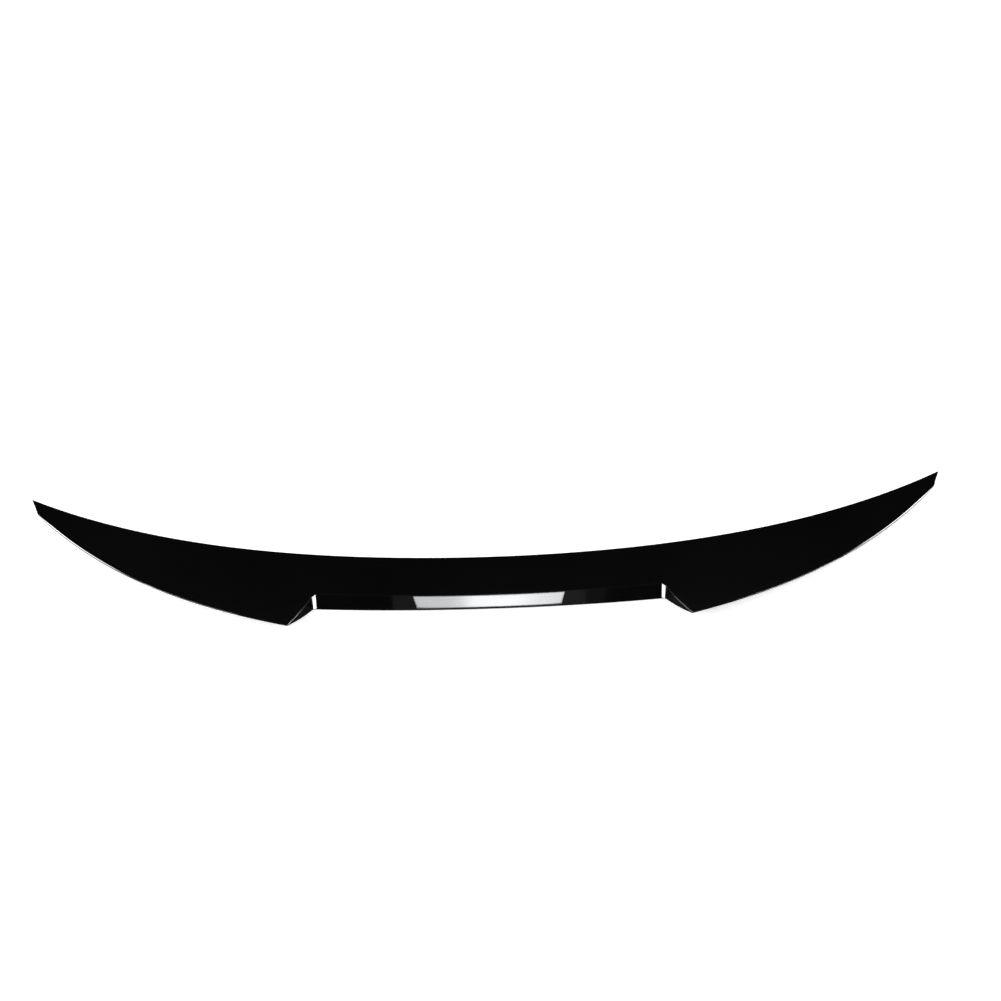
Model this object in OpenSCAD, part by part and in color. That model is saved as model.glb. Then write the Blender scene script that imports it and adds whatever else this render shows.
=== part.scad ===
// Boot-lid spoiler of a car: one moulded plastic shell, open underneath, that is
// bonded along the rear edge of the boot lid. A low lip runs across its middle and
// two taller wings run from the lip's ends to thin tips. X is across the car, +Y
// is forward and +Z is up. The origin is under the middle of the whole spoiler.

/* [Plan] */
// Overall width, tip to tip
span = 1240; // [1120:5:1360]
// How far the front edge runs forward from its middle to its tips
front_sweep = 126; // [100:1:150]
// Share of that sweep which is left to the last stretch before the tips
front_curl = 0.3; // [0.1:0.01:0.45]
// Front edge to lip, at the middle
chord_mid = 60.5; // [52:0.5:70]
// Front edge to lip, at the inner corners of the lip
chord_notch = 64.5; // [56:0.5:74]
// Middle to the inner corner, where the lip turns back towards a wing
notch_in = 231; // [200:1:246]
// Middle to the outer corner, where the wing's trailing edge starts
notch_out = 263; // [258:1:300]
// Front edge to trailing edge, at the outer corner
chord_root = 129; // [110:1:140]
// Front edge to trailing edge, a third of the way out along a wing
chord_third = 105.5; // [95:0.5:115]
// Front edge to trailing edge, two thirds of the way out
chord_two_thirds = 70.5; // [62:0.5:80]
// Front edge to the line of the trailing edge, carried on to the very tip
chord_point = 14; // [8:0.5:18]
// How far the blunt end leans in towards its rear corner
tip_lean = 8; // [4:0.5:14]
// Radius of the rear corner of the blunt end
tip_r = 5; // [2:0.5:7]

/* [Height] */
// Rise of the underside from its rear edge to its front edge, in degrees
lid_slope = 12.4; // [6:0.2:16]
// How far the underside curves down from the middle to the tips
lid_crown = 41; // [30:1:46]
// Share of that crown which is left to the last stretch before the tips
crown_curl = 0.34; // [0.1:0.01:0.45]
// Thickness of the front edge
edge_t = 2.6; // [2.2:0.1:4]
// Climb of the top from the front edge to the lip at the middle
rise_mid = 15; // [12:0.5:20]
// How sharply the top sweeps up: 1 is straight, 2 is a parabola
ramp_power = 1.65; // [1.4:0.05:1.8]
// Height of the blunt trailing edge of a wing
lip_t = 3; // [2:0.2:4]

/* [Rear face] */
// How far the foot of the rear band stands behind its lip
band_rake = 10.5; // [4:0.5:14]
// Share of the chord that is undercut at the tips
undercut_tip = 0.2; // [0.1:0.02:0.3]
// Hollow of the undercut below the wings
cove = 5; // [0:0.5:7]
// Softening of the inner corner, measured across the car
inner_soft = 4; // [1:0.5:6]
// Softening of the outer corner, measured across the car
outer_soft = 1; // [0.5:0.1:2]

/* [Shell] */
// Wall of the moulding
wall = 2.6; // [2:0.1:3.2]
// Thickness of the foot above its channel
foot_t = 2.2; // [1.6:0.1:3]
// Thickness of a cross rib
rib_t = 2.2; // [1.5:0.1:3]
// Distance from one cross rib to the next
rib_pitch = 62; // [50:1:80]
// Length of each tip that isn't hollow
tip_solid = 86; // [76:1:110]
// Width of the drip lip that hides the tape
drip_w = 2; // [1.5:0.1:2.5]

/* [Centre plate] */
// Width of the plate's recess at its top
plate_top_w = 203; // [160:1:230]
// Width of the plate's recess at its foot
plate_bottom_w = 192; // [150:1:230]
// Black border above the plate, down the band's slope
plate_top_border = 1; // [0.8:0.1:3]
// Black border below the plate, up the band's slope
plate_foot_border = 1.8; // [1:0.1:4]
// Thickness of the plate
plate_t = 1.15; // [0.8:0.05:1.5]
// Clearance round the plate
plate_gap = 0.2; // [0.1:0.05:0.5]

/* [Tape] */
// Width of the foam tape
tape_w = 8; // [5:0.5:9]
// Thickness of the foam tape
tape_t = 0.8; // [0.5:0.05:1.1]
// Clearance between the tape and the drip lip
tape_gap = 0.3; // [0.1:0.1:0.6]
// Land beyond the tape, behind the front edge
land_spare = 3.5; // [2:0.5:6]
// Foot beyond the tape, along the rear edge
foot_spare = 1.5; // [0.5:0.5:4]
// Length of bare channel between two tapes
tape_break = 24; // [10:1:40]
// How far the tapes stop short of the tips
tape_short = 74; // [60:1:110]
// Bond line between the shell and what is stuck to it
bond = 0.05; // [0.02:0.01:0.1]

/* [Hidden] */

half = span / 2;
hollow_end = half - tip_solid;
tape_end = half - tape_short;
run_out = 12;            // the relief under a tip closes over this length
plain_end = half - tip_r - run_out;
lean_run = 40;           // the sections fan out over this length before the tip
cove_run = 200;          // the cove fades out over this length before the tip

tape_sink = 0.05;        // how far the tape lies inside its channel
channel_d = tape_t + bond + tape_sink;
channel_step = 0.2;      // slope of the channel's side
land_w = drip_w + channel_step + tape_gap + tape_w + land_spare;
foot_w = drip_w + channel_step + tape_gap + tape_w + foot_spare;
slim = 0.3;              // land and foot keep to this share of a narrow section
upright = 1.08;          // a wall cut upright through the sloping top is this much longer
roof_over = 0.3;         // the hollow's roof stays this far above the channel
foot_share = 0.6;        // the foot fills at most this share of the height above its channel
rib_foot = 0.3;          // share of the height above the foot that a rib leaves open
rib_land = 0.8;          // share of the height beside the land that a rib leaves open
rib_crowd = 0.6;         // closest spacing of the points along a rib's lower edge

recess_d = plate_t + bond;
recess_step = 0.4;       // slope of the recess's sides
plate_chamfer = 0.25;
slant_run = 24;          // the sections lean with the plate's ends over this length
blunt_lean = 0.3;        // the blunt edge leans forward by this much

top_n = 10;              // steps from the front edge to the lip
rear_n = 7;              // steps from the lip to the foot
inner_n = 8;             // points along the inside, between the foot and the land
lip_at = 5 + top_n;      // place of the lip among a section's points
step_x = 22;             // longest step across the car

// Helpers
function mix(a, b, t) = a + (b - a) * t;
function clamp(v, lo, hi) = min(max(v, lo), hi);
function ramp_in(u, w) = u <= -w ? 0 : u >= w ? u : (u + w) * (u + w) / (4 * w);
function late(x, curl) = let (q = pow(x / half, 2)) (1 - curl) * q + curl * q * q;
function sorted(v) = len(v) < 2 ? v : let (p = v[floor(len(v) / 2)])
    concat(sorted([for (a = v) if (a < p) a]), [for (a = v) if (a == p) a],
        sorted([for (a = v) if (a > p) a]));
function root(f, lo, hi, n = 22) = n == 0 ? (lo + hi) / 2 : let (m = (lo + hi) / 2)
    f(m) > 0 ? root(f, lo, m, n - 1) : root(f, m, hi, n - 1);
function along(p, w) = let (i = min(floor(w), len(p) - 2)) mix(p[i], p[i + 1], w - i);

// Plan curves. Each takes the distance x from the middle and gives a place or a length.
function front_y(x) = front_sweep * late(x, front_curl);
function chord_lip(x) = mix(chord_mid, chord_notch, pow(x / notch_in, 2));
function chord_wing(x) = let (
    u = 3 * (x - notch_out) / (half - notch_out),
    d1 = chord_third - chord_root,
    d2 = chord_two_thirds - 2 * chord_third + chord_root,
    d3 = chord_point - 3 * chord_two_thirds + 3 * chord_third - chord_root)
    chord_root + u * d1 + u * (u - 1) / 2 * d2 + u * (u - 1) * (u - 2) / 6 * d3;
function wing_share(x) = (ramp_in(x - notch_in, inner_soft) - ramp_in(x - notch_out, outer_soft))
    / (notch_out - notch_in);
function corner_cut(x) = let (d = half - x)
    d >= tip_r ? 0 : tip_r - sqrt(tip_r * tip_r - pow(tip_r - d, 2));

// The sections near a tip lean inwards, and their ends stay on the wing's trailing edge
function lean(x) = tip_lean * pow(clamp((x - half) / lean_run + 1, 0, 1), 2);
function wing_y(x) = let (a = max(x, notch_in) - lean(x)) front_y(a) - chord_wing(a) + corner_cut(x);
function lip_y(x) = mix(front_y(x) - chord_lip(x), wing_y(x), wing_share(x));
function chord(x) = front_y(x) - lip_y(x);
function place_x(x, y) = x - lean(x) * (front_y(x) - y) / chord(x);

// Foot of the rear face: one curve along the edge of the lid, drawn in under the wings
function lid_edge_y(x) = front_y(x) - chord_lip(x) - band_rake;
root_share = (lid_edge_y(notch_out) - front_y(notch_out) + chord_root) / chord_root;
function undercut_share(x) = mix(root_share, undercut_tip, (x - notch_out) / (half - notch_out));
function foot_y(x) = x <= notch_out ? lid_edge_y(x) : lip_y(x) + undercut_share(x) * chord(x);

// Heights: the lid that the underside follows, and the ramp of the top
function lid_z(x, y) = tan(lid_slope) * (y + chord_mid + band_rake) - lid_crown * late(x, crown_curl);
function ramp(s) = edge_t + rise_mid * pow(max(s, 0) / chord_mid, ramp_power);
function top_z(x, y) = lid_z(x, y) + ramp(front_y(x) - y);
function lip(x) = [lip_y(x), top_z(x, lip_y(x))];
function foot(x) = [foot_y(x), lid_z(x, foot_y(x))];
function over_lid(x, y, h) = [y, lid_z(x, y) + h];

// The knee is where the part of the rear face that looks back meets the undercut.
// It runs from just above the foot, at the inner corner, to just below the wing's lip.
function knee(x) = let (w = wing_y(x), edge = min(lip_t, ramp(front_y(x) - w) / 2))
    mix(mix(foot(x), lip(x), plate_foot_border / norm(lip(x) - foot(x))),
        [w + blunt_lean, top_z(x, w) - edge], wing_share(x));
// Square to the rear face, into the body
function inwards(x) = let (d = foot(x) - lip(x)) [-d[1], d[0]] / norm(d);

// Recess of the centre plate: how deep it is at x, and how its ends lean
function recess(x) = recess_d * clamp((plate_top_w / 2 - x) / recess_step, 0, 1);
function end_slant(x) = let (d = abs(x - plate_top_w / 2))
    (plate_top_w - plate_bottom_w) / 2 * clamp(1 - max(d - 1, 0) / slant_run, 0, 1);

// Rear face of the section at x, from the lip to the foot, as [y, z] points
function rear(x) = let (
    t = wing_share(x),
    k = knee(x),
    h = norm(k - lip(x)),
    a = mix(plate_top_border / h, 0.25, t),
    b = mix(a + recess_step / h, 0.5, t),
    c = mix(1 - recess_step / h, 0.75, t),
    push = inwards(x) * recess(x),
    hollow = inwards(x) * cove * t * clamp((half - x) / cove_run, 0, 1))
    [lip(x), mix(lip(x), k, a), mix(lip(x), k, b) + push, mix(lip(x), k, c) + push, k,
        mix(k, foot(x), 0.3) + hollow * 0.8, mix(k, foot(x), 0.62) + hollow, foot(x)];

// Inside of a hollow section, from the foot to the land: up the rear wall and along the roof
function roof_h(x, y) = max(ramp(front_y(x) - y) - wall * upright, channel_d + roof_over);
function roof_z(x, y) = lid_z(x, y) + roof_h(x, y);
function hollow_line(x, land, foot_h) = let (
    r = rear(x),
    plain = [r[0], r[1], mix(r[1], r[4], 0.33), mix(r[1], r[4], 0.67), r[4], r[5], r[6], r[7]],
    w = wall / inwards(x)[0],
    low = root(function (q) foot(x)[1] + foot_h - along(plain, q)[1], 0, rear_n),
    high = root(function (q) roof_z(x, along(plain, q)[0] + w) - along(plain, q)[1], 0, rear_n),
    end = along(plain, high)[0] + w)
    concat(
        [for (u = [0:2]) along(plain, mix(low, high, u / 3)) + [w, 0]],
        [for (u = [0:4]) let (y = mix(end, land, u / 5)) [y, roof_z(x, y)]]);

// One closed section of the shell: HOLLOW, across a RIB, or the PLAIN tip. The order
// of the points is the same in each, so that neighbouring sections join up.
HOLLOW = 0;
RIB = 1;
PLAIN = 2;
function section(x, kind) = let (
    plain = kind == PLAIN,
    f = front_y(x),
    r = foot_y(x),
    land = f - min(land_w, slim * chord(x)),
    heel = r + min(foot_w, slim * (f - r)),
    deep = plain ? 0 : channel_d,
    land_h = plain ? 0 : roof_h(x, land),
    over_heel = roof_h(x, heel),
    foot_h = plain ? 0 : min(channel_d + foot_t, mix(channel_d, over_heel, foot_share)),
    apart = plain ? 0.07 : 0,
    rear_side = rear(x),
    hollow = x > hollow_end + 0.1 ? [] : hollow_line(x, land, foot_h),
    rib_share = mix(foot_h, over_heel, rib_foot) / over_heel,
    inner = kind == HOLLOW ? hollow
        : [for (i = [0:inner_n - 1]) let (
            y = len(hollow) == 0 ? mix(heel, land, (i + 1) / (inner_n + 1))
                : max(hollow[i][0], heel + rib_crowd * (i + 1)),
            open = mix(rib_share, rib_land, (y - heel) / (land - heel)))
            over_lid(x, y, plain ? 0 : roof_h(x, y) * open)])
    concat(
        [over_lid(x, mix(land, heel, apart), land_h), over_lid(x, land, deep),
            over_lid(x, f - drip_w - channel_step, deep), over_lid(x, f - drip_w, 0),
            over_lid(x, f, 0)],
        [for (i = [0:top_n]) let (y = mix(f, lip_y(x), i / top_n)) [y, top_z(x, y)]],
        [for (i = [1:rear_n]) rear_side[i]],
        [over_lid(x, r + drip_w, 0), over_lid(x, r + drip_w + channel_step, deep),
            over_lid(x, heel, deep), over_lid(x, mix(heel, land, apart), foot_h)],
        inner);
// Share of the way down the rear band, for the leaning ends of the recess
function drop(x, z) = clamp((lip(x)[1] - z) / (lip(x)[1] - knee(x)[1]), 0, 1);
function placed(x, y, z, side) = [side * x, y + shift_y, z + shift_z];
function solid_section(x, kind, side) = let (p = section(x, kind))
    [for (i = [0:len(p) - 1]) let (on_band = i > lip_at && i <= lip_at + 3)
        placed(place_x(x, p[i][0]) - end_slant(x) * (on_band ? drop(x, p[i][1]) : 0),
            p[i][0], p[i][1], side)];

// Stations across one half, from the middle to the tip: the features first, then
// plain steps that keep clear of them
rib_x = [for (i = [0:floor((hollow_end - 8) / rib_pitch - 0.5)]) rib_pitch * (i + 0.5)];
features = concat(
    [0, plate_top_w / 2 - recess_step, plate_top_w / 2],
    [for (x = rib_x) each [x - rib_t / 2, x + rib_t / 2]],
    [for (u = [-1, -0.4, 0.2, 1]) notch_in + u * inner_soft],
    [for (u = [0.25, 0.5, 0.75]) mix(notch_in + inner_soft, notch_out - outer_soft, u)],
    [notch_out - outer_soft, notch_out, notch_out + outer_soft],
    [hollow_end, plain_end - run_out, plain_end, half - tip_r],
    [for (a = [30, 60, 90]) half - tip_r * (1 - sin(a))]);
step_n = floor(half / step_x) + 1;
steps = [for (i = [1:step_n - 1]) let (x = i * half / step_n)
    if (min([for (f = features) abs(f - x)]) > step_x * 0.3) x];
all_x = sorted(concat(features, steps));
half_x = [for (i = [0:len(all_x) - 1]) if (i == 0 || all_x[i] - all_x[i - 1] > 0.05) all_x[i]];

// A rib's face, and the end of the hollow, has two sections at one place
function in_rib(x) = len([for (r = rib_x) if (abs(x - r) < rib_t / 2) r]) > 0;
function kind_at(x) = x > plain_end - 0.1 ? PLAIN : x > hollow_end || in_rib(x) ? RIB : HOLLOW;
half_rings = [for (x = half_x) let (before = kind_at(x - 0.05), past = kind_at(x + 0.05))
    each before == past || x == 0 ? [[x, past]] : [[x, before], [x, past]]];
rings = concat(
    [for (i = [len(half_rings) - 1:-1:1]) concat(half_rings[i], -1)],
    [for (r = half_rings) concat(r, 1)]);

// The whole stands over its own middle and on the ground
low_y = min([for (x = half_x) lip_y(x)]);
shift_y = -(front_y(half) + low_y) / 2;
shift_z = -min([for (x = half_x) each [foot(x)[1], lid_z(x, front_y(x))]]);

// Skin over sections with equal numbers of points. Two sections at one place share
// their first `same` points, so only the rest is walled between them.
function skin(n, m, twin, same) = [for (j = [0:m - 1]) for (i = [0:n - 1])
    let (k = (i + 1) % n, a = j * n + i, b = j * n + k, c = b + n, d = a + n)
    each !twin[j] ? [[a, c, b], [a, d, c]]
        : i < same && k < same ? [] : i < same ? [[a, c, b]] : k < same ? [[a, d, b]]
        : [[a, c, b], [a, d, c]]];
// An end is closed by strips between its upper and its lower points
function cap(upper, lower) = [for (i = [0:len(upper) - 2]) each upper[i + 1] == lower[i + 1]
    ? [[upper[i], upper[i + 1], lower[i]]]
    : [[upper[i], upper[i + 1], lower[i + 1]], [upper[i], lower[i + 1], lower[i]]]];
module loft(secs, upper, lower, twin = [], same = 0) {
    n = len(secs[0]);
    m = len(secs) - 1;
    near_end = cap(upper, lower);
    far_end = [for (t = near_end) [t[0], t[2], t[1]] + m * n * [1, 1, 1]];
    polyhedron(
        points = [for (s = secs) each s],
        faces = concat(skin(n, m, twin, same), near_end, far_end),
        convexity = 12);
}

// The moulding, with its ribs, land, foot, tape channels and recess
module spoiler_shell() {
    secs = [for (r = rings) solid_section(r[0], r[1], r[2])];
    n = len(secs[0]);
    last = top_n + rear_n;
    color([0.03, 0.03, 0.035])
        loft(secs,
            upper = [for (i = [0:last]) 5 + i],
            lower = [for (i = [0:last]) i < 5 ? 4 - i : i == last ? 5 + i : n - (i - 4)],
            twin = [for (j = [0:len(rings) - 2])
                rings[j][0] == rings[j + 1][0] && rings[j][2] == rings[j + 1][2]],
            same = n - inner_n);
}

// Plate in the recess: its face is flush with the band, its edges are chamfered
plate_end = plate_top_w / 2 - recess_step - 2 * plate_gap;
plate_x = concat([for (x = half_x) if (x < plate_end - 1) x], [plate_end]);
function plate_section(x, side) = let (
    in = inwards(x),
    h = norm(knee(x) - lip(x)),
    a = mix(lip(x), knee(x), (plate_top_border + recess_step + plate_gap) / h),
    b = mix(lip(x), knee(x), 1 - (recess_step + plate_gap) / h),
    c = plate_chamfer / norm(b - a))
    [for (q = [a + in * plate_t, a + in * plate_chamfer, mix(a, b, c), mix(b, a, c),
            b + in * plate_chamfer, b + in * plate_t])
        placed(x - end_slant(x) * drop(x, q[1]), q[0], q[1], side)];
module centre_plate() {
    color([0.8, 0.81, 0.83])
        loft(concat([for (i = [len(plate_x) - 1:-1:1]) plate_section(plate_x[i], -1)],
            [for (x = plate_x) plate_section(x, 1)]),
            upper = [0, 1, 2], lower = [5, 4, 3]);
}

// Foam tape along the front or the rear channel, between two places across the car.
// Places left of the middle are negative.
function tape_section(x, ahead) = let (
    a = abs(x),
    edge = drip_w + channel_step + tape_gap,
    y = ahead ? front_y(a) - edge : foot_y(a) + edge + tape_w,
    up = channel_d - bond)
    [for (q = [[y, up], [y - tape_w, up], [y - tape_w, up - tape_t], [y, up - tape_t]])
        placed(place_x(a, q[0]), q[0], lid_z(a, q[0]) + q[1], x < 0 ? -1 : 1)];
module tape(from, to, ahead) {
    inside = [for (x = concat([for (i = [len(half_x) - 1:-1:1]) -half_x[i]], half_x))
        if (x > from + 2 && x < to - 2) x];
    color([0.36, 0.37, 0.38])
        loft([for (x = concat([from], inside, [to])) tape_section(x, ahead)],
            upper = [0, 1], lower = [3, 2]);
}
module front_tape_left() tape(-tape_end, -tape_break / 2, true);
module front_tape_right() tape(tape_break / 2, tape_end, true);
module rear_tape_left() tape(-tape_end, -notch_out - tape_break, false);
module rear_tape_centre() tape(tape_break - notch_in, notch_in - tape_break, false);
module rear_tape_right() tape(notch_out + tape_break, tape_end, false);

spoiler_shell();
centre_plate();
front_tape_left();
front_tape_right();
rear_tape_left();
rear_tape_centre();
rear_tape_right();
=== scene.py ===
import bpy
import math
from mathutils import Euler, Matrix, Vector


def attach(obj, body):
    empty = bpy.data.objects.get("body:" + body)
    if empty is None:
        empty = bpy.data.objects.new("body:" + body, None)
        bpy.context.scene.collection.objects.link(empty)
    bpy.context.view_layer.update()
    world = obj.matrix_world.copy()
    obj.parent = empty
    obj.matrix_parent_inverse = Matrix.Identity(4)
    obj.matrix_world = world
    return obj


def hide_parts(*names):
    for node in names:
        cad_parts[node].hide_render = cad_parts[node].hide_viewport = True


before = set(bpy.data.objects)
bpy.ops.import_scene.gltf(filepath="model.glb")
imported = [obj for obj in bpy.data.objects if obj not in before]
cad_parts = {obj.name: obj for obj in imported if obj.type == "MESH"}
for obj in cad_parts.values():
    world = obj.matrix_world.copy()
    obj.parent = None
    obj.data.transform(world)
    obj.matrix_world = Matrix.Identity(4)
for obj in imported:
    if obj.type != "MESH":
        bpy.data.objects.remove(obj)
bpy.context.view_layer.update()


# The moulding: one injection-moulded plastic shell, painted gloss black outside and
# left bare inside, where cross ribs stiffen it. It has a low lip across the middle and
# two taller wings, and is bonded to the lid along its land and foot. Sizes are in mm.
HALF = 620.0
FRONT_SWEEP, FRONT_CURL = 126.0, 0.3
NOTCH_IN, NOTCH_OUT = 231.0, 263.0
CHORD_MID, CHORD_NOTCH = 60.5, 64.5
CHORD_ROOT, CHORD_THIRD, CHORD_TWO_THIRDS, CHORD_POINT = 129.0, 105.5, 70.5, 14.0
TIP_R, TIP_LEAN, LEAN_RUN = 5.0, 8.0, 40.0
LID_SLOPE, LID_CROWN, CROWN_CURL = 12.4, 41.0, 0.34
EDGE_T, RISE_MID, RAMP_POWER, LIP_T = 2.6, 15.0, 1.65, 3.0
BAND_RAKE, FOOT_BORDER, UNDERCUT_TIP, BLUNT_LEAN = 10.5, 1.8, 0.2, 0.3
COVE, COVE_RUN = 5.0, 200.0
WALL, UPRIGHT, FOOT_T, DRIP, RIB = 2.6, 1.08, 2.2, 2.0, 2.2
LAND_W, FOOT_W, SLIM = 14.0, 12.0, 0.3
CHANNEL, CHANNEL_STEP, ROOF_OVER = 0.9, 0.2, 0.3
RUN_OUT = 12.0
HOLLOW_END = HALF - 86.0
PLAIN_END = HALF - TIP_R - RUN_OUT
RIB_X = [62.0 * (i + 0.5) for i in range(8)]


def mix(a, b, t):
    return a + (b - a) * t


def between(a, b, t):
    return (mix(a[0], b[0], t), mix(a[1], b[1], t))


def clamp(v, lo=0.0, hi=1.0):
    return max(lo, min(hi, v))


def ramp_in(u, w):
    return 0.0 if u <= -w else u if u >= w else (u + w) ** 2 / (4 * w)


# The lip turns into the notch wall in two bends: the share of the turn that the first
# one takes, and the place and softness of each
FIRST_BEND = 0.46
FIRST_AT, FIRST_SOFT = -2.7, 0.7
SECOND_AT, SECOND_SOFT = 2.3, 1.3


def facet_in(u):
    """Like ramp_in, but by way of a narrow flat facet at about half the slope."""
    return (FIRST_BEND * ramp_in(u - FIRST_AT, FIRST_SOFT)
            + (1 - FIRST_BEND) * ramp_in(u - SECOND_AT, SECOND_SOFT))


def late(x, curl):
    """0 at the middle and 1 at the tips, with a share of it left to the last stretch."""
    q = (x / HALF) ** 2
    return (1 - curl) * q + curl * q * q


def front_y(x):
    return FRONT_SWEEP * late(x, FRONT_CURL)


def chord_lip(x):
    return mix(CHORD_MID, CHORD_NOTCH, (x / NOTCH_IN) ** 2)


def chord_wing(x):
    """A cubic through four chords of the wing, a third of its length apart."""
    u = 3 * (x - NOTCH_OUT) / (HALF - NOTCH_OUT)
    d1 = CHORD_THIRD - CHORD_ROOT
    d2 = CHORD_TWO_THIRDS - 2 * CHORD_THIRD + CHORD_ROOT
    d3 = CHORD_POINT - 3 * CHORD_TWO_THIRDS + 3 * CHORD_THIRD - CHORD_ROOT
    return CHORD_ROOT + u * d1 + u * (u - 1) / 2 * d2 + u * (u - 1) * (u - 2) / 6 * d3


def wing_share(x):
    """0 on the lip, 1 on a wing, and in between along the notch wall."""
    return (facet_in(x - NOTCH_IN) - ramp_in(x - NOTCH_OUT, 1.0)) / (NOTCH_OUT - NOTCH_IN)


def corner_cut(x):
    d = HALF - x
    return 0.0 if d >= TIP_R else TIP_R - math.sqrt(max(TIP_R ** 2 - (TIP_R - d) ** 2, 0.0))


def lean(x):
    return TIP_LEAN * clamp((x - HALF) / LEAN_RUN + 1) ** 2


def wing_y(x):
    a = max(x, NOTCH_IN) - lean(x)
    return front_y(a) - chord_wing(a) + corner_cut(x)


def lip_y(x):
    return mix(front_y(x) - chord_lip(x), wing_y(x), wing_share(x))


def lid_z(x, y):
    rise = math.tan(math.radians(LID_SLOPE)) * (y + CHORD_MID + BAND_RAKE)
    return rise - LID_CROWN * late(x, CROWN_CURL)


def ramp(s):
    """Height of the top above the lid, at a distance s behind the front edge."""
    return EDGE_T + RISE_MID * (max(s, 0.0) / CHORD_MID) ** RAMP_POWER


def lid_edge_y(x):
    return front_y(x) - chord_lip(x) - BAND_RAKE


ROOT_SHARE = (lid_edge_y(NOTCH_OUT) - front_y(NOTCH_OUT) + CHORD_ROOT) / CHORD_ROOT


def foot_y(x):
    share = mix(ROOT_SHARE, UNDERCUT_TIP, (x - NOTCH_OUT) / (HALF - NOTCH_OUT))
    return lid_edge_y(x) if x <= NOTCH_OUT else lip_y(x) + share * (front_y(x) - lip_y(x))


def over_lid(x, y, h):
    return (y, lid_z(x, y) + h)


def top(x, y):
    return (y, lid_z(x, y) + ramp(front_y(x) - y))


def rear_frame(x):
    """Lip, knee and foot of the rear face, and the direction square to it, into the body."""
    t, w = wing_share(x), wing_y(x)
    lip, foot = top(x, lip_y(x)), over_lid(x, foot_y(x), 0.0)
    slope = math.dist(lip, foot)
    low = between(foot, lip, FOOT_BORDER / slope)
    edge = min(LIP_T, ramp(front_y(x) - w) / 2)
    knee = between(low, (w + BLUNT_LEAN, top(x, w)[1] - edge), t)
    inward = (-(foot[1] - lip[1]) / slope, (foot[0] - lip[0]) / slope)
    return t, lip, knee, foot, inward


def pushed(p, direction, d):
    return (p[0] + direction[0] * d, p[1] + direction[1] * d)


def cove_points(x, n):
    """The hollow undercut, from the knee down to just above the foot."""
    t, _, knee, foot, inward = rear_frame(x)
    depth = COVE * t * clamp((HALF - x) / COVE_RUN)
    return [pushed(between(knee, foot, u), inward, depth * 4 * u * (1 - u))
            for u in [i / n for i in range(1, n)]]


def roof_h(x, y):
    return max(ramp(front_y(x) - y) - WALL * UPRIGHT, CHANNEL + ROOF_OVER)


def along(path, w):
    """The point of a path at w, counted in its points."""
    i = min(int(w), len(path) - 2)
    return between(path[i], path[i + 1], w - i)


def crossing(test, path):
    """Where along the path the test falls from above 0 to below it."""
    lo, hi = 0.0, len(path) - 1.0
    for _ in range(24):
        m = (lo + hi) / 2
        lo, hi = (lo, m) if test(along(path, m)) > 0 else (m, hi)
    return (lo + hi) / 2


def hollow_line(x, land, foot_h):
    """Inside of the shell, up the rear wall and forward along the roof."""
    _, lip, knee, foot, inward = rear_frame(x)
    path = [lip] + [between(lip, knee, u) for u in (0.25, 0.5, 0.75)] + [knee]
    path += cove_points(x, 6) + [foot]
    w = WALL / inward[0]
    low = crossing(lambda p: foot[1] + foot_h - p[1], path)
    high = crossing(lambda p: lid_z(x, p[0] + w) + roof_h(x, p[0] + w) - p[1], path)
    wall = [pushed(along(path, mix(low, high, i / 6)), (1, 0), w) for i in range(6)]
    end = along(path, high)[0] + w
    roof = [mix(end, land, i / 10) for i in range(10)]
    return wall + [over_lid(x, y, roof_h(x, y)) for y in roof]


def rounded(corners):
    """A line through corners given as (point, radius, steps), each one softened. It takes
    up at most 0.9 of the way to the next corner, or 0.45 where that is softened too."""
    line = []
    for i, (p, radius, steps) in enumerate(corners):
        if not steps:
            line.append(p)
            continue
        before, after = corners[i - 1][0], corners[i + 1][0]
        la, lb = math.dist(p, before), math.dist(p, after)
        cos = ((before[0] - p[0]) * (after[0] - p[0]) + (before[1] - p[1]) * (after[1] - p[1]))
        half_angle = math.acos(clamp(cos / (la * lb), -1.0, 1.0)) / 2
        reach = max(radius / max(math.tan(half_angle), 0.05), 0.15)
        reach = min(reach, (0.45 if corners[i - 1][1] else 0.9) * la,
                    (0.45 if corners[i + 1][1] else 0.9) * lb)
        a, b = between(p, before, reach / la), between(p, after, reach / lb)
        line += [between(between(a, p, s), between(p, b, s), s)
                 for s in [k / steps for k in range(steps + 1)]]
    return line


# Recess of the plate: half its width at its top, its depth and the slope of its sides,
# and how far its ends lean in down the band
RECESS_END, RECESS_D, RECESS_STEP = 101.5, 1.2, 0.4
SLANT, SLANT_RUN = 5.5, 24.0


def plate_recess(x):
    return RECESS_D * clamp((RECESS_END - x) / RECESS_STEP)


def end_slant(x):
    return SLANT * clamp(1 - max(abs(x - RECESS_END) - 1, 0) / SLANT_RUN)


def drop(x, z):
    """Share of the way down the rear band at height z."""
    _, lip, knee, _, _ = rear_frame(x)
    return clamp((lip[1] - z) / (lip[1] - knee[1]))


# The lip's round ends this far down the band, or at this share of a wing's rear face
LIP_DOWN, LIP_SHARE = 0.9, 0.35
# The rounder stretch of lip at the notch: its reach from the inner corner to either side
SOFT_NEAR, SOFT_FAR, SOFT_FADE = 4.0, 14.0, 12.0
# The outer stretch of a wing's lip, a steep bevel over a thin rim that stands back below it
BEVEL_START, BEVEL_RUN, BEVEL_FADE = 430.0, 90.0, 30.0
BEVEL_W, BEVEL_SHARE, RIM_DROP, RIM_BACK, RIM_STEP = 1.75, 0.95, 0.6, 0.85, 0.15


def soft_corner(x):
    """1 at the inner corner of the notch, where the lip is rounder."""
    near, far = x - NOTCH_IN + SOFT_NEAR, NOTCH_IN + SOFT_FAR - x
    return clamp(near / SOFT_NEAR) * clamp(far / SOFT_FADE)


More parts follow.
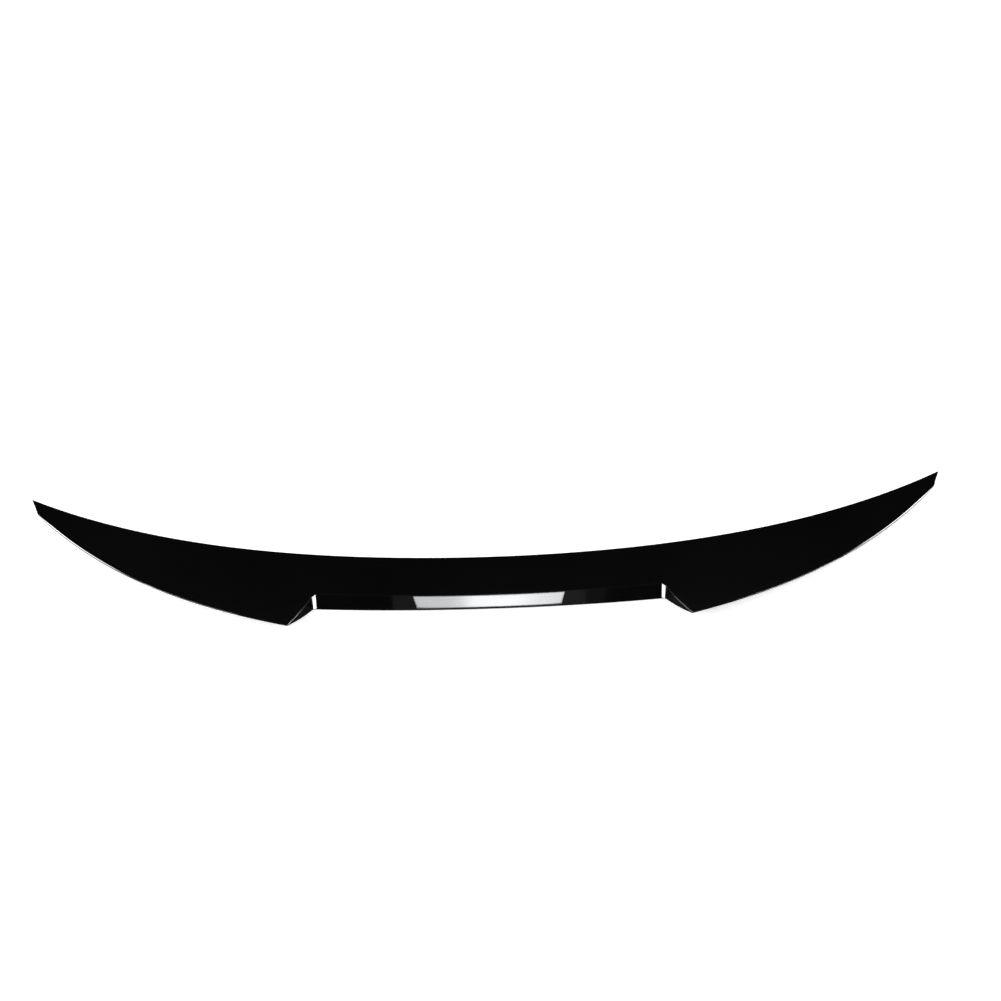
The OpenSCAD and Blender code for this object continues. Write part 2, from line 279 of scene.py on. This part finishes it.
def tip_bevel(x):
    """1 along the outer part of the wing, where the lip is a steep bevel over a thin rim."""
    return clamp((x - BEVEL_START) / BEVEL_RUN) * clamp((HALF - x) / BEVEL_FADE)


def lip_curve(x, before, lip, knee, radius):
    """The edge from the top into the rear face, as nine points."""
    down = (LIP_DOWN + soft_corner(x)) / math.dist(lip, knee)
    after = between(lip, knee, mix(down, LIP_SHARE, wing_share(x)))
    curve = rounded([(before, 0, 0), (lip, radius, 8), (after, 0, 0)])[1:-1]
    start = between(lip, before, BEVEL_W / math.dist(lip, before))
    rim = between(lip, knee, RIM_DROP)
    step = (rim[0] + RIM_BACK, rim[1] + RIM_STEP)
    bevel = [between(start, step, i / 5) for i in range(6)]
    bevel += [between(step, rim, i / 3) for i in range(1, 4)]
    return [between(p, q, BEVEL_SHARE * tip_bevel(x)) for p, q in zip(curve, bevel)]


# Radii of the edges, from the front edge round to the foot
FRONT_FOOT_R, FRONT_TOP_R, LIP_R, KNEE_R, FOOT_R = 0.7, 1.1, 0.8, 0.9, 0.5
# How much larger the lip's radius is at the inner corner of the notch
SOFT_R = 1.6
# Edges are smaller where the moulding is narrower than this, down to a quarter
FULL_CHORD = 40.0
# The flat run of the top between its rounded edges, as shares of the chord, and its steps
TOP_FROM, TOP_RUN, TOP_N = 0.07, 0.86, 21
# Three lines along the rear face. Beside the plate two keep to a distance from the lip and
# one runs above the knee, and on a wing they take shares of the height, plain or bevelled.
PLATE_LINES = (0.95, 1.4)
WING_LINES = ((0.4, 0.68), (0.5, 0.72), (0.75, 0.87))


def skin_points(x):
    """The outside at x, from the front edge over the top and down the rear face."""
    t, lip, knee, foot, inward = rear_frame(x)
    f, h = front_y(x), math.dist(lip, knee)
    edge = clamp((f - lip_y(x)) / FULL_CHORD, 0.25, 1.0)
    soft, bevel = soft_corner(x), tip_bevel(x)
    beside_plate = [(d + soft) / h for d in PLATE_LINES] + [1 - RECESS_STEP / h]
    a, b, c = [mix(u, mix(*wing, bevel), t) for u, wing in zip(beside_plate, WING_LINES)]
    skin = [(over_lid(x, f - DRIP, 0.0), 0, 0), (over_lid(x, f, 0.0), FRONT_FOOT_R * edge, 3),
            (top(x, f), FRONT_TOP_R * edge, 5)]
    skin += [(top(x, mix(f, lip[0], u)), 0, 0)
             for u in [TOP_FROM + TOP_RUN * i / TOP_N for i in range(TOP_N + 1)]]
    lip_radius = (LIP_R + SOFT_R * soft) * edge
    skin += [(p, 0, 0) for p in lip_curve(x, skin[-1][0], lip, knee, lip_radius)]
    skin += [(between(lip, knee, a), 0, 0)]
    skin += [(pushed(between(lip, knee, mix(b, c, i / 4)), inward, plate_recess(x)), 0, 0)
             for i in range(5)]
    skin += [(knee, KNEE_R * edge, 5)] + [(p, 0, 0) for p in cove_points(x, 7)]
    skin += [(foot, FOOT_R * edge, 3), (over_lid(x, foot_y(x) + DRIP, 0.0), 0, 0)]
    return rounded(skin)


HOLLOW, RIBBED, PLAIN = range(3)
# The foot fills at most this share of the height above its channel
FOOT_SHARE = 0.6
# Shares of the height that a rib leaves open above the foot and beside the land
RIB_FOOT, RIB_LAND = 0.3, 0.8
# Points along the inside, and their closest spacing on a rib
INNER_N, RIB_CROWD = 16, 0.3
# In the plain tip the ends of that run stand in from foot and land by this share of it
APART = 0.07


def underside(x, kind):
    """The hidden side at x, in three runs: the foot with its channel, then the inside of
    the hollow, the edge of a rib or the plain tip, then the land with its channel."""
    plain = kind == PLAIN
    f, r = front_y(x), foot_y(x)
    land = f - min(LAND_W, SLIM * (f - lip_y(x)))
    heel = r + min(FOOT_W, SLIM * (f - r))
    apart = APART if plain else 0.0
    deep = 0.0 if plain else CHANNEL
    over_heel = roof_h(x, heel)
    land_h = 0.0 if plain else roof_h(x, land)
    foot_h = 0.0 if plain else min(CHANNEL + FOOT_T, mix(CHANNEL, over_heel, FOOT_SHARE))
    under = [over_lid(x, r + DRIP + CHANNEL_STEP, deep), over_lid(x, heel, deep),
             over_lid(x, mix(heel, land, apart), foot_h)]
    front = [over_lid(x, mix(land, heel, apart), land_h),
             over_lid(x, land, deep), over_lid(x, f - DRIP - CHANNEL_STEP, deep)]
    hollow = [] if x > HOLLOW_END + 0.1 else hollow_line(x, land, foot_h)
    if kind == HOLLOW:
        return under, hollow, front
    open_share = mix(foot_h, over_heel, RIB_FOOT) / over_heel
    inner = []
    for i in range(INNER_N):
        y = mix(heel, land, (i + 1) / (INNER_N + 1))
        if hollow:
            y = max(hollow[i][0], heel + RIB_CROWD * (i + 1))
        open_h = roof_h(x, y) * mix(open_share, RIB_LAND, (y - heel) / (land - heel))
        inner.append(over_lid(x, y, 0.0 if plain else open_h))
    return under, inner, front


# Places of the six points that cross the rear band, among those of a section
BAND = range(45, 51)
# Rounding of the moulding's very ends
END_R = 0.9


def ring(x, kind, side):
    """The section at x as points in the row frame, in metres, on one side of the middle,
    and how many of them come before the inside. They run from the land round the skin."""
    skin = skin_points(x)
    under, inner, front = underside(x, kind)
    shared = front + skin + under
    chord = front_y(x) - lip_y(x)
    end = clamp((x - HALF + END_R) / END_R)
    inset = END_R * (1 - math.sqrt(max(1 - end * end, 0.0)))
    ys, zs = [p[0] for p in skin], [p[1] for p in skin]
    mid_y, mid_z = (max(ys) + min(ys)) / 2, (max(zs) + min(zs)) / 2
    thin_y = 1 - inset / max((max(ys) - min(ys)) / 2, 1.0)
    thin_z = 1 - inset / max((max(zs) - min(zs)) / 2, 1.0)
    out = []
    for i, (y, z) in enumerate(shared + inner):
        px = x - lean(x) * (front_y(x) - y) / chord
        if i in BAND:
            px -= end_slant(x) * drop(x, z)
        y, z = mid_y + (y - mid_y) * thin_y, mid_z + (z - mid_z) * thin_z
        out.append((side * px / 1000, (y + SHIFT_Y) / 1000, (z + SHIFT_Z) / 1000))
    return out, len(shared)


# Stations across one half: at each feature, close together at the notch and the tip, and
# plain steps between them that keep clear of the others
STEP, CLEAR = 4.6, 1.6
TIP_START, TIP_STEP = 580.0, 2.5
marks = [0.0, RECESS_END - RECESS_STEP, RECESS_END, NOTCH_OUT, HOLLOW_END, PLAIN_END - RUN_OUT,
         PLAIN_END]
marks += [x + s * RIB / 2 for x in RIB_X for s in (-1, 1)]
marks += [NOTCH_IN + 0.35 * i for i in range(-14, 12)]
marks += [NOTCH_IN + 5 + 2.1 * i for i in range(12)]
marks += [NOTCH_OUT + 0.25 * i for i in range(-6, 7) if i] + [NOTCH_OUT + 3, NOTCH_OUT + 5]
marks += [HALF - TIP_R * (1 - math.sin(math.radians(a))) for a in range(0, 61, 10)]
marks += [HALF - END_R + END_R * math.sin(math.radians(a)) for a in range(0, 91, 15)]
marks += [TIP_START + TIP_STEP * i for i in range(14)]
stations = sorted(set(round(m, 3) for m in marks))
stations = sorted(stations + [STEP * i for i in range(1, int(TIP_START / STEP) + 1)
                              if min(abs(STEP * i - m) for m in stations) > CLEAR])

# The whole stands over its own middle and on the ground
SHIFT_Y = -(front_y(HALF) + min(lip_y(x) for x in stations)) / 2
SHIFT_Z = -min(min(lid_z(x, foot_y(x)), lid_z(x, front_y(x))) for x in stations)


def kind_at(x):
    if x > PLAIN_END - 0.1:
        return PLAIN
    ribbed = x > HOLLOW_END or any(abs(x - r) < RIB / 2 for r in RIB_X)
    return RIBBED if ribbed else HOLLOW


half_rings = []
for x in stations:
    before, past = kind_at(x - 0.05), kind_at(x + 0.05)
    half_rings += [(x, past)] if before == past or x == 0 else [(x, before), (x, past)]
plan = [(x, k, -1) for x, k in half_rings[:0:-1]] + [(x, k, 1) for x, k in half_rings]

verts, rows = [], []
for j, (x, kind, side) in enumerate(plan):
    points, shared = ring(x, kind, side)
    twin = j > 0 and plan[j - 1][0] == x and plan[j - 1][2] == side
    row = list(rows[-1][:shared]) if twin else []
    for p in points[len(row):]:
        row.append(len(verts))
        verts.append(p)
    rows.append(row)
count = len(rows[0])
faces, inside = [], []
for near, far in zip(rows, rows[1:]):
    for i in range(count):
        k = (i + 1) % count
        face = []
        for v in (near[i], near[k], far[k], far[i]):
            if v not in face:
                face.append(v)
        if len(face) > 2:
            faces.append(face)
            inside.append(1 if i < 2 or i >= shared - 4 else 0)
faces += [list(reversed(rows[0])), list(rows[-1])]
inside += [0, 0]


def new_piece(name, points, polygons, sharp_past):
    """A smooth object whose edges are sharp where they turn by more than some degrees."""
    mesh = bpy.data.meshes.new(name)
    mesh.from_pydata(points, [], polygons)
    mesh.validate()
    mesh.update()
    mesh.polygons.foreach_set("use_smooth", [True] * len(mesh.polygons))
    mesh.set_sharp_from_angle(angle=math.radians(sharp_past))
    piece = bpy.data.objects.new(name, mesh)
    bpy.context.scene.collection.objects.link(piece)
    return piece


moulding = new_piece("spoiler_moulding", verts, faces, sharp_past=32)
moulding.data.polygons.foreach_set("material_index", inside)
even = moulding.modifiers.new("Even normals", "WEIGHTED_NORMAL")
even.keep_sharp = True


def new_group(name, inputs, outputs):
    """An empty shader node group with its sockets, and its input and output nodes."""
    group = bpy.data.node_groups.new(name, "ShaderNodeTree")
    for label, kind, value in inputs:
        socket = group.interface.new_socket(label, in_out="INPUT", socket_type=kind)
        socket.default_value = value
    for label, kind in outputs:
        group.interface.new_socket(label, in_out="OUTPUT", socket_type=kind)
    return group, group.nodes.new("NodeGroupInput"), group.nodes.new("NodeGroupOutput")


# Handling marks: soft patches where a surface was wiped, as a roughness and a mask
handled, hin, hout = new_group(
    "Handling marks",
    [("Scale", "NodeSocketFloat", 6.0), ("Clean", "NodeSocketFloat", 0.1),
     ("Dull", "NodeSocketFloat", 0.2)],
    [("Roughness", "NodeSocketFloat"), ("Mask", "NodeSocketFloat")])
place = handled.nodes.new("ShaderNodeTexCoord")
patches = handled.nodes.new("ShaderNodeTexNoise")
patches.inputs["Detail"].default_value = 4.0
patches.inputs["Roughness"].default_value = 0.55
span_patches = handled.nodes.new("ShaderNodeMapRange")
span_patches.inputs["From Min"].default_value = 0.35
span_patches.inputs["From Max"].default_value = 0.7
level = handled.nodes.new("ShaderNodeMapRange")
handled.links.new(place.outputs["Object"], patches.inputs["Vector"])
handled.links.new(hin.outputs["Scale"], patches.inputs["Scale"])
handled.links.new(patches.outputs["Fac"], span_patches.inputs["Value"])
handled.links.new(span_patches.outputs["Result"], level.inputs["Value"])
handled.links.new(hin.outputs["Clean"], level.inputs["To Min"])
handled.links.new(hin.outputs["Dull"], level.inputs["To Max"])
handled.links.new(level.outputs["Result"], hout.inputs["Roughness"])
handled.links.new(span_patches.outputs["Result"], hout.inputs["Mask"])

# Fine relief: the even, small unevenness of a sprayed, moulded or foamed surface
relief, rin, rout = new_group(
    "Fine relief",
    [("Scale", "NodeSocketFloat", 400.0), ("Detail", "NodeSocketFloat", 2.0),
     ("Height", "NodeSocketFloat", 0.05), ("Strength", "NodeSocketFloat", 0.3)],
    [("Normal", "NodeSocketVector"), ("Mask", "NodeSocketFloat")])
place = relief.nodes.new("ShaderNodeTexCoord")
grains = relief.nodes.new("ShaderNodeTexNoise")
bump = relief.nodes.new("ShaderNodeBump")
relief.links.new(place.outputs["Object"], grains.inputs["Vector"])
relief.links.new(rin.outputs["Scale"], grains.inputs["Scale"])
relief.links.new(rin.outputs["Detail"], grains.inputs["Detail"])
relief.links.new(grains.outputs["Fac"], bump.inputs["Height"])
relief.links.new(rin.outputs["Height"], bump.inputs["Distance"])
relief.links.new(rin.outputs["Strength"], bump.inputs["Strength"])
relief.links.new(bump.outputs["Normal"], rout.inputs["Normal"])
relief.links.new(grains.outputs["Fac"], rout.inputs["Mask"])


def use_group(tree, group, **values):
    node = tree.nodes.new("ShaderNodeGroup")
    node.node_tree = group
    for label, value in values.items():
        node.inputs[label].default_value = value
    return node


def new_material(name):
    material = bpy.data.materials.new(name)
    material.use_nodes = True
    return material, material.node_tree, material.node_tree.nodes["Principled BSDF"]


def finish(tree, shader, marking, grain, mask, dark, light):
    """Joins marks and fine relief to the shader, and a base colour that moves between two
    close tones with the mask."""
    tree.links.new(marking.outputs["Roughness"], shader.inputs["Roughness"])
    tree.links.new(grain.outputs["Normal"], shader.inputs["Normal"])
    tones = tree.nodes.new("ShaderNodeMix")
    tones.data_type = "RGBA"
    tones.inputs["A"].default_value = dark + (1.0,)
    tones.inputs["B"].default_value = light + (1.0,)
    tree.links.new(mask, tones.inputs["Factor"])
    tree.links.new(tones.outputs["Result"], shader.inputs["Base Color"])


# Paint of the outside: black lacquer over primer, polished, with a faint orange peel
gloss_black, tree, shader = new_material("gloss_black_lacquer")
wiped = use_group(tree, handled, Scale=5.0, Clean=0.03, Dull=0.06)
peel = use_group(tree, relief, Scale=320.0, Detail=1.0, Height=0.00002, Strength=0.25)
finish(tree, shader, wiped, peel, wiped.outputs["Mask"],
       dark=(0.0014, 0.0014, 0.0016), light=(0.0022, 0.0022, 0.0024))
shader.inputs["IOR"].default_value = 1.5
shader.inputs["Specular IOR Level"].default_value = 0.09
moulding.data.materials.append(gloss_black)

# The bare underside: the same plastic as it left the mould, with its fine spark texture
bare_black, tree, shader = new_material("bare_black_plastic")
scuffed = use_group(tree, handled, Scale=9.0, Clean=0.42, Dull=0.6)
spark = use_group(tree, relief, Scale=1800.0, Detail=3.0, Height=0.00006, Strength=0.6)
finish(tree, shader, scuffed, spark, scuffed.outputs["Mask"],
       dark=(0.008, 0.008, 0.009), light=(0.016, 0.016, 0.017))
moulding.data.materials.append(bare_black)

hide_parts("spoiler_shell")
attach(moulding, "root")


# The centre plate: a strip of bare satin aluminium, cut with leaning ends, rolled to the
# bend of the band and bonded in its recess. Its face is flush and its edges are rounded.
PLATE_T, PLATE_EDGE, PLATE_R = 1.15, 0.5, 0.3
PLATE_GAP, END_SINK = 0.2, 0.07
PLATE_END = RECESS_END - RECESS_STEP - 2 * PLATE_GAP
plate_verts, plate_faces, plate_rows = [], [], []
plate_x = [(PLATE_END - PLATE_EDGE) * i / 40 for i in range(41)]
plate_x += [PLATE_END - PLATE_EDGE + PLATE_EDGE * i / 4 for i in range(1, 5)]
plate_x = [-x for x in plate_x[:0:-1]] + plate_x
for px in plate_x:
    x, side = abs(px), -1 if px < 0 else 1
    _, lip, knee, _, inward = rear_frame(x)
    h = math.dist(lip, knee)
    a = between(lip, knee, (PLATE_LINES[1] + PLATE_GAP) / h)
    b = between(lip, knee, 1 - (RECESS_STEP + PLATE_GAP) / h)
    outline = rounded(
        [(pushed(a, inward, PLATE_T), 0, 0), (a, PLATE_R, 3)]
        + [(between(a, b, u), 0, 0) for u in (0.2, 0.4, 0.6, 0.8)]
        + [(b, PLATE_R, 3), (pushed(b, inward, PLATE_T), 0, 0)])
    sink = END_SINK * clamp((x - PLATE_END + PLATE_EDGE) / PLATE_EDGE) ** 2
    row = []
    for i, p in enumerate(outline):
        if 0 < i < len(outline) - 1:
            p = pushed(p, inward, sink)
        row.append(len(plate_verts))
        plate_verts.append((side * (x - end_slant(x) * drop(x, p[1])) / 1000,
                            (p[0] + SHIFT_Y) / 1000, (p[1] + SHIFT_Z) / 1000))
    plate_rows.append(row)
n = len(plate_rows[0])
for near, far in zip(plate_rows, plate_rows[1:]):
    plate_faces += [[near[i], near[(i + 1) % n], far[(i + 1) % n], far[i]] for i in range(n)]
plate_faces += [list(reversed(plate_rows[0])), list(plate_rows[-1])]
plate = new_piece("centre_trim_plate", plate_verts, plate_faces, sharp_past=40)

# Bare aluminium with fine drawing lines that run along the plate
satin_silver, tree, shader = new_material("satin_aluminium")
wiped = use_group(tree, handled, Scale=14.0, Clean=0.09, Dull=0.13)
place = tree.nodes.new("ShaderNodeTexCoord")
draw = tree.nodes.new("ShaderNodeMapping")
draw.inputs["Scale"].default_value = (12.0, 900.0, 900.0)
lines = tree.nodes.new("ShaderNodeTexNoise")
lines.inputs["Scale"].default_value = 1.0
lines.inputs["Detail"].default_value = 3.0
bump = tree.nodes.new("ShaderNodeBump")
bump.inputs["Strength"].default_value = 0.1
bump.inputs["Distance"].default_value = 0.00001
tree.links.new(place.outputs["Object"], draw.inputs["Vector"])
tree.links.new(draw.outputs["Vector"], lines.inputs["Vector"])
tree.links.new(lines.outputs["Fac"], bump.inputs["Height"])
finish(tree, shader, wiped, bump, lines.outputs["Fac"],
       dark=(0.50, 0.505, 0.515), light=(0.60, 0.605, 0.61))
shader.inputs["Metallic"].default_value = 1.0
plate.data.materials.append(satin_silver)

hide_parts("centre_plate")
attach(plate, "root")


# The foam tapes: strips of closed-cell acrylic foam with glue on both faces, pressed
# into the two channels of the underside. They stay as the CAD has them.
foam, tree, shader = new_material("foam_tape_grey")
dusty = use_group(tree, handled, Scale=30.0, Clean=0.7, Dull=0.95)
cells = use_group(tree, relief, Scale=2600.0, Detail=2.0, Height=0.0002, Strength=0.8)
finish(tree, shader, dusty, cells, cells.outputs["Mask"],
       dark=(0.03, 0.031, 0.033), light=(0.09, 0.092, 0.095))
for name in ("front_tape_left", "front_tape_right", "rear_tape_left", "rear_tape_centre",
             "rear_tape_right"):
    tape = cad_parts[name]
    tape.data.materials.clear()
    tape.data.materials.append(foam)


# The set: a pale floor, a pale room, soft lamps and the camera, from behind and well
# above. Strips of light stand behind and beside the object for its mirror faces alone.
FLOOR_HALF, FLOOR_Z = 30, -0.0005
floor_mesh = bpy.data.meshes.new("floor")
floor_mesh.from_pydata([(u * FLOOR_HALF, v * FLOOR_HALF, FLOOR_Z)
                        for u, v in ((-1, -1), (1, -1), (1, 1), (-1, 1))], [], [(0, 1, 2, 3)])
floor = bpy.data.objects.new("floor", floor_mesh)
bpy.context.scene.collection.objects.link(floor)
floor.visible_glossy = False


def maths(tree, operation, first, second):
    """A maths node between two sockets, or between a socket and a plain number."""
    node = tree.nodes.new("ShaderNodeMath")
    node.operation = operation
    tree.links.new(first, node.inputs[0])
    if isinstance(second, float):
        node.inputs[1].default_value = second
    else:
        tree.links.new(second, node.inputs[1])
    return node.outputs[0]


def seen_straight(tree):
    """The ways of a ray, and 1 for what the camera sees itself or in a mirror or glass."""
    ways = tree.nodes.new("ShaderNodeLightPath").outputs
    seen = maths(tree, "MAXIMUM", ways["Is Camera Ray"], ways["Is Glossy Ray"])
    return ways, maths(tree, "MAXIMUM", seen, ways["Is Transmission Ray"])


# A matt, pale floor, a little brighter where it is seen than as a lamp, and clear from below
FLOOR_LIFT = 0.62
floor_white, tree, shader = new_material("floor_white")
shader.inputs["Base Color"].default_value = (0.8, 0.8, 0.8, 1.0)
shader.inputs["Roughness"].default_value = 0.9
shader.inputs["Specular IOR Level"].default_value = 0.0
shader.inputs["Emission Color"].default_value = (1.0, 1.0, 1.0, 1.0)
ways, seen = seen_straight(tree)
tree.links.new(maths(tree, "MULTIPLY", seen, FLOOR_LIFT), shader.inputs["Emission Strength"])
below = tree.nodes.new("ShaderNodeNewGeometry")
clear = tree.nodes.new("ShaderNodeBsdfTransparent")
one_sided = tree.nodes.new("ShaderNodeMixShader")
tree.links.new(below.outputs["Backfacing"], one_sided.inputs["Fac"])
tree.links.new(shader.outputs["BSDF"], one_sided.inputs[1])
tree.links.new(clear.outputs["BSDF"], one_sided.inputs[2])
tree.links.new(one_sided.outputs["Shader"], tree.nodes["Material Output"].inputs["Surface"])
floor_mesh.materials.append(floor_white)

# The room is white where it is seen and dimmer as a lamp. For what gloss mirrors of it
# there are three black flags: high in front of the object, low, and a small one behind it.
# Each has its direction, and the cosines where it starts to darken and is darkest.
FLAGS = (((0.0, 0.75, 0.66), 0.45, 0.68), ((0.0, 0.3, -0.95), 0.45, 0.68),
         ((0.0, -1.0, -0.02), 0.86, 0.94))
ROOM_WHITE, FLAG_BLACK, ROOM_GLOW = 1.0, 0.1, 0.5
world = bpy.data.worlds.new("studio")
bpy.context.scene.world = world
world.use_nodes = True
tree = world.node_tree
back = tree.nodes["Background"]
ways, seen = seen_straight(tree)
place = tree.nodes.new("ShaderNodeTexCoord")
mirrored = None
for direction, edge, core in FLAGS:
    facing = tree.nodes.new("ShaderNodeVectorMath")
    facing.operation = "DOT_PRODUCT"
    facing.inputs[1].default_value = direction
    flagged = tree.nodes.new("ShaderNodeMapRange")
    flagged.interpolation_type = "SMOOTHSTEP"
    flagged.inputs["From Min"].default_value = edge
    flagged.inputs["From Max"].default_value = core
    flagged.inputs["To Min"].default_value = ROOM_WHITE
    flagged.inputs["To Max"].default_value = FLAG_BLACK
    tree.links.new(place.outputs["Generated"], facing.inputs[0])
    tree.links.new(facing.outputs["Value"], flagged.inputs["Value"])
    flag = flagged.outputs["Result"]
    mirrored = flag if mirrored is None else maths(tree, "MINIMUM", mirrored, flag)
room = tree.nodes.new("ShaderNodeMix")
room.inputs["A"].default_value = ROOM_WHITE
glow = tree.nodes.new("ShaderNodeMix")
glow.inputs["A"].default_value = ROOM_GLOW
tree.links.new(ways["Is Glossy Ray"], room.inputs["Factor"])
tree.links.new(mirrored, room.inputs["B"])
tree.links.new(seen, glow.inputs["Factor"])
tree.links.new(room.outputs["Result"], glow.inputs["B"])
tree.links.new(glow.outputs["Result"], back.inputs["Strength"])
back.inputs["Color"].default_value = (1.0, 1.0, 1.0, 1.0)


def lamp(name, where, towards, size, power):
    light = bpy.data.lights.new(name, "AREA")
    light.shape = "RECTANGLE"
    light.size, light.size_y = size
    light.energy = power
    item = bpy.data.objects.new(name, light)
    bpy.context.scene.collection.objects.link(item)
    item.location = where
    item.rotation_euler = (Vector(towards) - Vector(where)).to_track_quat("-Z", "Y").to_euler()
    item.visible_camera = False
    return item


lamp("key", where=(-1.7, -1.1, 2.5), towards=(0, 0, 0), size=(1.2, 1.2), power=40)
lamp("fill", where=(1.9, -0.6, 2.2), towards=(0, 0, 0), size=(1.2, 1.2), power=25)

# Three strips behind the object give the plate its shading: one along its whole length, a
# narrow bright one and a faint one to its right. Each has its place, aim, length and power.
strips = []
for name, x, aim_x, length, power in (
        ("plate_base_strip", 0.0, 0.0, 0.92, 2.66), ("plate_strip", 0.04, 0.0, 0.3, 0.75),
        ("plate_side_strip", 0.38, 0.1, 0.38, 0.45)):
    strips.append(lamp(name, (x, -3.2, -0.05), (aim_x, -0.08, 0.02), (length, 1.0), power))

# The strip on each side is in three lengths: one that the notch mirrors, a dimmer one
# for the bevel of the wing, and one for the crest of the notch. Each has its place along
# the line of the strip, its length and its power.
LENGTHS = ((-0.457, 0.615, 173), (0.125, 0.55, 90), (0.582, 0.365, 103))
# That line's middle and direction, and how far inwards and forwards the strip faces
MIDDLE, ALONG, FACE = (1.348, -0.334), (0.165, 0.986), (1.578, 0.264)
STRIP_Z, STRIP_H = -0.4, 0.8
for side in (-1, 1):
    for u, length, power in LENGTHS:
        where = (side * (MIDDLE[0] + ALONG[0] * u), ALONG[1] * u + MIDDLE[1], STRIP_Z)
        towards = (where[0] - side * FACE[0], where[1] + FACE[1], STRIP_Z)
        strips.append(lamp("edge_strip", where, towards, (length, STRIP_H), power))
for strip in strips:
    strip.visible_diffuse = False

# Square behind the object and well above it, a little rolled and shifted as the photo is
PLACE, ELEVATION, ROLL = (0.0, -1.7508, 2.6429), 55, -1.83
camera_data = bpy.data.cameras.new("photo_view")
camera = bpy.data.objects.new("photo_view", camera_data)
bpy.context.scene.collection.objects.link(camera)
camera_data.lens = 85.0
camera_data.sensor_width = 36.0
camera_data.shift_x = 0.0146
camera_data.shift_y = -0.0005
camera.matrix_world = (Matrix.Translation(PLACE)
                       @ Euler((math.radians(90 - ELEVATION), 0, 0)).to_matrix().to_4x4()
                       @ Matrix.Rotation(math.radians(ROLL), 4, "Z"))
bpy.context.scene.camera = camera
bpy.context.scene.view_settings.view_transform = "Standard"
